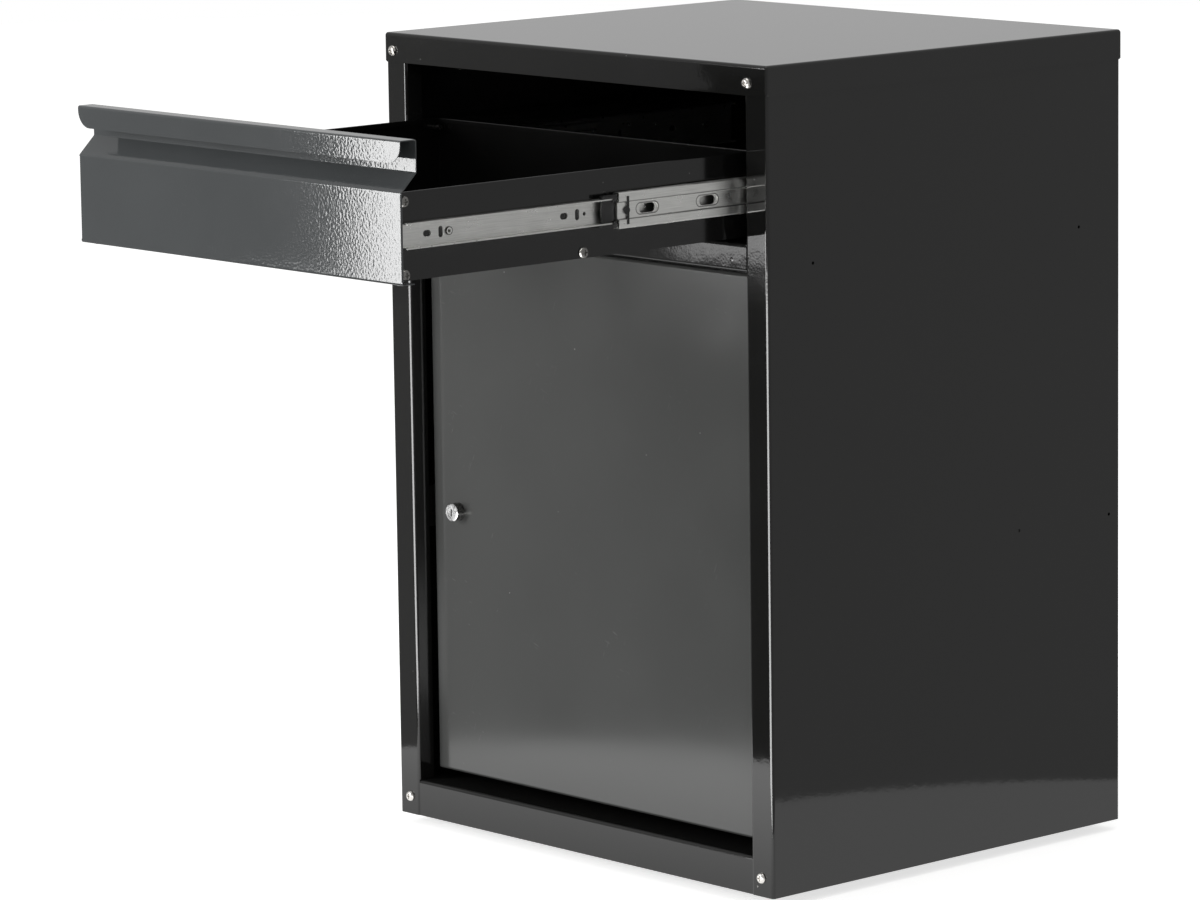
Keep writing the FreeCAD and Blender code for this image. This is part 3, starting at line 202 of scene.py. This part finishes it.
class Finish(Graph):
    """A material being made: its Principled shader, coordinates in metres and heights for a bump."""

    def __init__(self, name, colour, metallic, roughness):
        self.material = bpy.data.materials.new(name)
        self.material.use_nodes = True
        super().__init__(self.material.node_tree)
        self.shader = self.tree.nodes["Principled BSDF"]
        self.shader.inputs["Base Color"].default_value = colour
        self.shader.inputs["Metallic"].default_value = metallic
        self.shader.inputs["Roughness"].default_value = roughness
        self.place = self.add("ShaderNodeTexCoord").outputs["Object"]
        self.heights = []

    def link(self, name, output):
        self.tree.links.new(output, self.shader.inputs[name])

    def stretched(self, scale, turn=(0.0, 0.0, 0.0)):
        """Coordinates scaled along each axis, after a turn."""
        inputs = {"Vector": self.place, "Scale": scale, "Rotation": turn}
        return self.add("ShaderNodeMapping", inputs, vector_type="TEXTURE").outputs[0]

    def noise(self, size, detail, place=None):
        """Noise whose features are about as large as a size in metres."""
        inputs = {"Vector": place or self.place, "Scale": 1.0 / size, "Detail": detail}
        return self.add("ShaderNodeTexNoise", inputs).outputs["Fac"]

    def specks(self, spacing, size, share):
        """Round specks: one in a cell of some spacing, in a share of the cells."""
        cells = self.add("ShaderNodeTexVoronoi", {"Vector": self.place, "Scale": 1.0 / spacing})
        rim = size / spacing
        dot = self.ramp(cells.outputs["Distance"], 0.4 * rim, rim, to_low=1.0, to_high=0.0)
        pick = self.add("ShaderNodeSeparateColor", {"Color": cells.outputs["Color"]}).outputs[0]
        return self.maths("MULTIPLY", dot, self.maths("LESS_THAN", pick, share))

    def scratches(self, length, turn, width=0.4 * MM, threshold=0.81):
        """Thin lines in one direction, from noise that is stretched along it."""
        lines = self.noise(1.0, 0.0, self.stretched((length, width, length), turn))
        return self.ramp(lines, threshold, threshold + 0.02)

    def spots(self, places):
        """Ragged spots at chosen places, each with a radius."""
        ragged = 1.2 * MM
        blur = 0.3 * MM
        total = 0.0
        wobble = self.maths("MULTIPLY", self.noise(0.9 * MM, 3.0), ragged)
        for point, radius in places:
            reach = self.maths("ADD", self.distance(self.place, point), wobble)
            spot = self.ramp(reach, radius, radius + blur, to_low=1.0, to_high=0.0)
            total = self.maths("MAXIMUM", spot, total)
        return total

    def outline(self, centre, half_length, radius, width):
        """Line round a pocket that has round ends and lies along y."""
        axes = self.axes(self.place)
        y = self.maths("ABSOLUTE", self.maths("SUBTRACT", axes["Y"], centre[0]))
        past = self.maths("MAXIMUM", self.maths("SUBTRACT", y, half_length), 0.0)
        z = self.maths("SUBTRACT", axes["Z"], centre[1])
        squares = self.maths("ADD", self.maths("MULTIPLY", past, past), self.maths("MULTIPLY", z, z))
        off = self.maths("ABSOLUTE", self.maths("SUBTRACT", self.maths("SQRT", squares), radius))
        return self.ramp(off, 0.4 * width, width, to_low=1.0, to_high=0.0)

    def raise_by(self, height, metres):
        """Adds a height pattern, 0 to 1, of a real depth to the bump."""
        self.heights.append(self.maths("MULTIPLY", height, metres))

    def done(self):
        """Joins the heights into one bump and returns the material."""
        total = self.heights[0]
        for height in self.heights[1:]:
            total = self.maths("ADD", total, height)
        bump = self.add("ShaderNodeBump", {"Strength": 1.0, "Distance": 1.0, "Height": total})
        self.link("Normal", bump.outputs["Normal"])
        return self.material


def shade(colour, factor, lift=0.0):
    """A colour made darker or lighter."""
    return tuple(channel * factor + lift for channel in colour[:3]) + (1.0,)


# ---------------------------------------------------------------- finishes
def powder_coat(name, colour, gloss, peel, grain=COAT_GRAIN, swell=2.5, wear=0.3, dust=0.3,
                chips=(), dimples=()):
    """Baked powder coat on sheet: orange peel, nibs, dust, rubbed lines, uneven gloss and some chips.

    The gloss is a roughness and the peel the bumps' height. Swell is the waves' height as a share of it.
    """
    coat = Finish(name, colour, metallic=0.0, roughness=gloss)
    coat.shader.inputs["IOR"].default_value = COAT_IOR
    coat.raise_by(coat.noise(grain, 0.3), peel)
    coat.raise_by(coat.noise(SWELL_SIZE, 1.0), peel * swell)
    coat.raise_by(coat.specks(spacing=45 * MM, size=0.8 * MM, share=0.4), NIB_HEIGHT)
    if dimples:
        coat.raise_by(coat.spots(dimples), -DIMPLE_DEPTH)

    cloud = coat.noise(120 * MM, 4.0)
    lines = coat.maths("MAXIMUM", coat.scratches(length=16 * MM, turn=(0.3, 0.5, 0.9)),
                       coat.scratches(length=11 * MM, turn=(0.6, -0.4, -0.5)))
    patches = coat.ramp(coat.noise(70 * MM, 2.0), 0.48, 0.62)
    rubbed = coat.maths("MULTIPLY", coat.maths("MULTIPLY", lines, patches), wear)
    dull = coat.ramp(cloud, 0.35, 0.7, to_low=gloss, to_high=gloss * 1.25)
    coat.link("Roughness", coat.maths("ADD", dull, coat.maths("MULTIPLY", rubbed, 0.25)))

    tinted = coat.mixed(coat.ramp(cloud, 0.3, 0.75), colour, shade(colour, 1.07))
    tinted = coat.mixed(rubbed, tinted, shade(colour, 1.6, lift=0.012))
    flecks = coat.specks(spacing=24 * MM, size=0.8 * MM, share=0.3)
    tinted = coat.mixed(coat.maths("MULTIPLY", flecks, dust), tinted, DUST)
    if chips:
        bare = coat.spots(chips)
        coat.raise_by(bare, -CHIP_DEPTH)
        tinted = coat.mixed(bare, tinted, BARE_STEEL)
    coat.link("Base Color", tinted)
    return coat.done()


def rolled_zinc(name, colour, pockets=()):
    """Bright zinc on rolled strip: lines along it, clouded spangle, dark nicks, and painted shade along the
    pocket edges.
    """
    metal = Finish(name, colour, metallic=1.0, roughness=0.32)
    lines = metal.noise(1.0, 3.0, metal.stretched(ROLLED_GRAIN))
    metal.raise_by(lines, 4 * MICRON)
    cloud = metal.noise(12 * MM, 3.0)
    nicks = metal.specks(spacing=11 * MM, size=0.5 * MM, share=0.3)
    metal.raise_by(nicks, -50 * MICRON)
    metal.link("Roughness", metal.ramp(cloud, 0.3, 0.7, to_low=0.27, to_high=0.42))

    streaks = metal.ramp(lines, 0.35, 0.75, to_low=0.0, to_high=0.7)
    tinted = metal.mixed(streaks, colour, shade(colour, 0.72))
    nicks_and_edge_shade = nicks
    # Painted shade: a dark line along each pocket's pressed edge
    for centre, half_length, radius in pockets:
        edge = metal.outline(centre, half_length, radius, POCKET_SHADE_WIDTH)
        nicks_and_edge_shade = metal.maths("MAXIMUM", nicks_and_edge_shade, edge)
    metal.link("Base Color", metal.mixed(nicks_and_edge_shade, tinted, shade(colour, 0.3)))
    return metal.done()


def plated(name, colour, gloss, grain_size, grain_depth):
    """Plated small parts: even plating with fine tool marks and slight clouding."""
    metal = Finish(name, colour, metallic=1.0, roughness=gloss)
    metal.raise_by(metal.noise(grain_size, 3.0), grain_depth)
    cloud = metal.noise(3 * MM, 3.0)
    metal.link("Roughness", metal.ramp(cloud, 0.3, 0.7, to_low=gloss * 0.8, to_high=gloss * 1.5))
    clouding = metal.ramp(cloud, 0.4, 0.75, to_low=0.0, to_high=0.6)
    metal.link("Base Color", metal.mixed(clouding, colour, shade(colour, 0.78)))
    return metal.done()


def nickel_plated(name, colour):
    """Nickel-plated screws."""
    return plated(name, colour, gloss=0.24, grain_size=0.5 * MM, grain_depth=6 * MICRON)


def lock_chrome():
    """Chrome whose turned side is painted dark, as painted shade, against the bright end face."""
    metal = Finish("lock_chrome", CHROME, metallic=1.0, roughness=0.25)
    metal.raise_by(metal.noise(0.5 * MM, 3.0), 3 * MICRON)
    faces = metal.add("ShaderNodeTexCoord").outputs["Normal"]
    front = metal.maths("ABSOLUTE", metal.axes(faces)["Y"])
    # Painted shade: faces that do not look along y get the dark colour
    side = metal.ramp(front, 0.15, 0.5, to_low=1.0, to_high=0.0)
    metal.link("Base Color", metal.mixed(side, CHROME, LOCK_SIDE_SHADE))
    metal.link("Roughness", metal.ramp(metal.noise(3 * MM, 3.0), 0.3, 0.7, to_low=0.22, to_high=0.34))
    return metal.done()


def greased_and_shaded_screws():
    """Flat screws with dark colour in the drive and round the head: grease, and painted shade of these
    recesses.
    """
    drive_radius = 2.0 * MM
    head_radius = 3.5 * MM
    metal = Finish("greased_and_shaded_screws", ZINC, metallic=1.0, roughness=0.28)
    metal.raise_by(metal.noise(0.5 * MM, 3.0), 6 * MICRON)
    drive = metal.spots([(place, drive_radius) for place in MEMBER_SCREWS])
    head = metal.spots([(place, head_radius) for place in MEMBER_SCREWS])
    # Painted shade, with grease: dark in the drive and outside the head's radius
    grease_and_shade = metal.maths("MAXIMUM", drive, metal.maths("SUBTRACT", 1.0, head))
    metal.link("Base Color", metal.mixed(grease_and_shade, ZINC, GREASE_AND_SHADE))
    return metal.done()


def moulded(name, colour, gloss, grain_size, grain_depth):
    """Moulded plastic with a fine eroded grain."""
    plastic = Finish(name, colour, metallic=0.0, roughness=gloss)
    grain = plastic.noise(grain_size, 4.0)
    plastic.raise_by(grain, grain_depth)
    cloud = plastic.noise(10 * MM, 3.0)
    plastic.link("Roughness", plastic.ramp(cloud, 0.3, 0.7, to_low=gloss * 0.85, to_high=gloss * 1.15))
    plastic.link("Base Color", plastic.mixed(grain, colour, shade(colour, 1.35)))
    return plastic.done()


def apply(material, *names):
    """Gives CAD nodes their only material."""
    for name in names:
        data = nodes[name].data
        data.materials.clear()
        data.materials.append(material)


def sided(*names):
    """Left and right node of each name."""
    return [name + side for name in names for side in ("_left", "_right")]


def finish_coats():
    body = powder_coat("gloss_black_coat", BLACK_COAT, gloss=0.05, peel=11 * MICRON, chips=CHIPS)
    apply(body, *sided("side_panel"), "lid", "base_pan", "back_panel")
    rail = powder_coat("rubbed_black_coat", BLACK_COAT, gloss=0.05, peel=8 * MICRON, wear=1.0)
    apply(rail, "divider_rail")
    inner = powder_coat("inner_black_coat", BLACK_COAT, gloss=0.13, peel=6 * MICRON)
    apply(inner, *sided("base_runner", "slide_bracket"), "door_stiffener", "lock_strike", "divider_rivets")
    drawer = powder_coat("drawer_black_coat", DRAWER_COAT, gloss=0.11, peel=5 * MICRON)
    apply(drawer, *sided("drawer_side"), "drawer_back", "drawer_bottom")
    face = powder_coat("face_charcoal_coat", FACE_COAT, gloss=0.052, peel=34 * MICRON, grain=2.4 * MM,
                       swell=0.25, dimples=DIMPLES)
    apply(face, "drawer_front")
    door = powder_coat("door_charcoal_coat", CHARCOAL_COAT, gloss=0.13, peel=5 * MICRON, wear=0.5, dust=0.8)
    apply(door, "door_panel")


def finish_slides():
    apply(rolled_zinc("rolled_zinc", ZINC), *sided("slide_outer", "slide_inner", "outer_cage"))
    apply(rolled_zinc("bright_rolled_zinc", ZINC_RUBBED, POCKETS), *sided("slide_middle"))
    nylon = moulded("black_nylon", BLACK_PLASTIC, gloss=0.50, grain_size=0.6 * MM, grain_depth=10 * MICRON)
    apply(nylon, *sided("inner_cage", "slide_clip"))
    bearing = plated("bearing_steel", STEEL, gloss=0.10, grain_size=0.4 * MM, grain_depth=0.5 * MICRON)
    apply(bearing, *sided("inner_balls", "outer_balls"))


def finish_small_parts():
    foot = moulded("foot_plastic", BLACK_PLASTIC, gloss=0.45, grain_size=0.8 * MM, grain_depth=20 * MICRON)
    apply(foot, "feet")
    bush = moulded("natural_nylon", NYLON, gloss=0.35, grain_size=0.7 * MM, grain_depth=5 * MICRON)
    apply(bush, "hinge_bushes")
    apply(nickel_plated("nickel_screws", NICKEL), "lid_screws", "back_screws", "slide_screws", "cam_screw")
    # Foot and base screws get the lighter copy as painted light, the drawer screws the darker copy as
    # painted shade
    apply(nickel_plated("lit_copy_screws", NICKEL_PAINTED_LIT), "foot_screws", "base_screws")
    apply(nickel_plated("shaded_copy_screws", NICKEL_PAINTED_SHADED), "drawer_screws")
    apply(greased_and_shaded_screws(), "drawer_member_screws")
    apply(lock_chrome(), "lock_housing", "lock_plug", "lock_nut")
    zinc = plated("zinc_small_parts", ZINC, gloss=0.30, grain_size=0.6 * MM, grain_depth=6 * MICRON)
    apply(zinc, "lock_cam", "hinge_pin_upper", "hinge_pin_lower")


# ---------------------------------------------------------------- camera and light
def set_camera():
    camera = bpy.data.objects.new("camera", bpy.data.cameras.new("camera"))
    bpy.context.scene.collection.objects.link(camera)
    camera.data.lens = FOCAL_LENGTH_MM
    camera.data.sensor_width = SENSOR_MM
    camera.data.sensor_fit = "HORIZONTAL"
    camera.data.clip_end = CLIP_END
    level = math.cos(VIEW_ELEVATION)
    across = Vector((math.cos(VIEW_AZIMUTH), math.sin(VIEW_AZIMUTH), 0.0))
    back = Vector((
        math.sin(VIEW_AZIMUTH) * level,
        -math.cos(VIEW_AZIMUTH) * level,
        math.sin(VIEW_ELEVATION),
    ))
    turn = Matrix((across, back.cross(across), back)).transposed()
    roll = Matrix.Rotation(VIEW_ROLL, 3, "Z")
    camera.matrix_world = Matrix.Translation(CAMERA_PLACE) @ (turn @ roll).to_4x4()
    bpy.context.scene.camera = camera


def softbox(name, place, target, width, height, radiance):
    """Rectangular lamp that faces a target. Radiance 1 is that of a white surface in even light of 1."""
    lamp = bpy.data.lights.new(name, "AREA")
    lamp.shape = "RECTANGLE"
    lamp.size = width
    lamp.size_y = height
    lamp.energy = math.pi * width * height * radiance
    holder = bpy.data.objects.new(name, lamp)
    holder.location = place
    holder.rotation_euler = (Vector(target) - Vector(place)).to_track_quat("-Z", "Y").to_euler()
    bpy.context.scene.collection.objects.link(holder)


def set_lamps():
    softbox("key_softbox", KEY_PLACE, LAMP_TARGET, width=0.92, height=1.36, radiance=12.5)
    softbox("key_spill", SPILL_PLACE, SPILL_TARGET, width=0.18, height=0.05, radiance=3.5)
    softbox("top_softbox", TOP_PLACE, LAMP_TARGET, width=1.6, height=1.6, radiance=2.2)


def set_world():
    """Even light all around, white to the camera. What gloss shows of it is brighter behind the cabinet."""
    world = bpy.data.worlds.new("studio")
    bpy.context.scene.world = world
    world.use_nodes = True
    sky = Graph(world.node_tree)
    place = sky.add("ShaderNodeTexCoord").outputs["Generated"]
    behind = (-math.sin(VIEW_AZIMUTH), math.cos(VIEW_AZIMUTH), 0.0)
    facing = sky.vector_maths("DOT_PRODUCT", place, behind)["Value"]
    in_gloss = sky.ramp(facing, 0.1, 0.8, to_low=STUDIO_GREY, to_high=BEHIND_GREY)
    strength = sky.chosen(sky.seen_in_gloss(), PLAIN_LIGHT, in_gloss)
    background = sky.tree.nodes["Background"]
    background.inputs["Color"].default_value = (1.0, 1.0, 1.0, 1.0)
    sky.tree.links.new(sky.chosen(sky.seen_by_camera(), strength, 1.0), background.inputs["Strength"])


# ---------------------------------------------------------------- floor
def disc(name, radius, rings, spokes):
    """Round sheet made of rings of faces."""
    corners = [(0.0, 0.0, 0.0)]
    for ring in range(1, rings + 1):
        reach = radius * ring / rings
        for spoke in range(spokes):
            angle = 2.0 * math.pi * spoke / spokes
            corners.append((reach * math.cos(angle), reach * math.sin(angle), 0.0))
    faces = [(0, 1 + i, 1 + (i + 1) % spokes) for i in range(spokes)]
    for ring in range(rings - 1):
        inner = 1 + ring * spokes
        outer = inner + spokes
        for i in range(spokes):
            j = (i + 1) % spokes
            faces.append((inner + i, outer + i, outer + j, inner + j))
    mesh = bpy.data.meshes.new(name)
    mesh.from_pydata(corners, [], faces)
    return bpy.data.objects.new(name, mesh)


def ring_of(graph, turn, panels):
    """Brightness of panels round an apex, where turn goes from 0 to 1 once round it."""
    ring = graph.add("ShaderNodeValToRGB", {"Fac": turn})
    marks = ring.color_ramp.elements
    for mark, (degrees, _) in zip(marks, (panels[0], panels[-1])):
        mark.position = degrees / 360.0 + 0.5
    for degrees, _ in panels[1:-1]:
        marks.new(degrees / 360.0 + 0.5)
    for mark, (_, brightness) in zip(marks, panels):
        share = brightness / PANEL_BRIGHTNESS
        mark.color = (share, share, share, 1.0)
    return graph.maths("MULTIPLY", ring.outputs["Color"], PANEL_BRIGHTNESS)


def painted_panel_glow(graph, place):
    """Brightness of the glow painted on the floor as low panels in front of the cabinet, by angle about
    their apex.
    """
    away = graph.axes(graph.vector_maths("SUBTRACT", place, PANEL_APEX)[0])
    angle = graph.maths("ARCTAN2", away["Y"], away["X"])
    turn = graph.maths("ADD", graph.maths("MULTIPLY", angle, 0.5 / math.pi), 0.5)
    past = graph.ramp(graph.distance(place, PANEL_APEX), PANEL_REACH, PANEL_REACH + PANEL_BLUR)
    return graph.chosen(past, ring_of(graph, turn, PANELS), ring_of(graph, turn, FAR_PANELS))


def floor_material():
    """Pale floor, which glows for gloss rays as a white round table top with the low panels past its edge:
    a painted reflection.
    """
    material = bpy.data.materials.new("pale_floor")
    material.use_nodes = True
    material.node_tree.nodes.clear()
    graph = Graph(material.node_tree)
    place = graph.add("ShaderNodeTexCoord").outputs["Object"]
    depth = graph.axes(place)["Y"]
    table = graph.ramp(depth, TABLE_FRONT_DEPTH, TABLE_SIDE_DEPTH, to_low=TABLE_FRONT, to_high=TABLE_SIDE)
    edge = graph.ramp(graph.distance(place, TABLE_CENTRE), TABLE_RADIUS, TABLE_RADIUS + TABLE_BLUR)
    in_gloss = graph.chosen(edge, table, painted_panel_glow(graph, place))
    paint = graph.add("ShaderNodeBsdfDiffuse", {"Color": FLOOR_COLOUR}).outputs[0]
    unseen = graph.add("ShaderNodeBsdfDiffuse", {"Color": FLOOR_UNSEEN}).outputs[0]
    lift = graph.add("ShaderNodeEmission", {"Strength": FLOOR_LIFT}).outputs[0]
    lifted = graph.add("ShaderNodeAddShader", {0: paint, 1: lift}).outputs[0]
    seen = graph.add("ShaderNodeMixShader", {0: graph.seen_by_camera(), 1: unseen, 2: lifted}).outputs[0]
    # Painted glow: the floor emits this, up to 13 times white, to gloss rays only
    painted_glow = graph.add("ShaderNodeEmission", {"Strength": in_gloss}).outputs[0]
    surface = graph.add("ShaderNodeMixShader", {0: graph.seen_in_gloss(), 1: seen, 2: painted_glow}).outputs[0]
    graph.add("ShaderNodeOutputMaterial", {"Surface": surface})
    return material


def set_floor():
    floor = disc("floor", FLOOR_RADIUS, FLOOR_RINGS, FLOOR_SPOKES)
    bpy.context.scene.collection.objects.link(floor)
    floor.data.materials.append(floor_material())


finish_coats()
finish_slides()
finish_small_parts()
set_camera()
set_lamps()
set_world()
set_floor()
bpy.context.scene.view_settings.view_transform = "Standard"
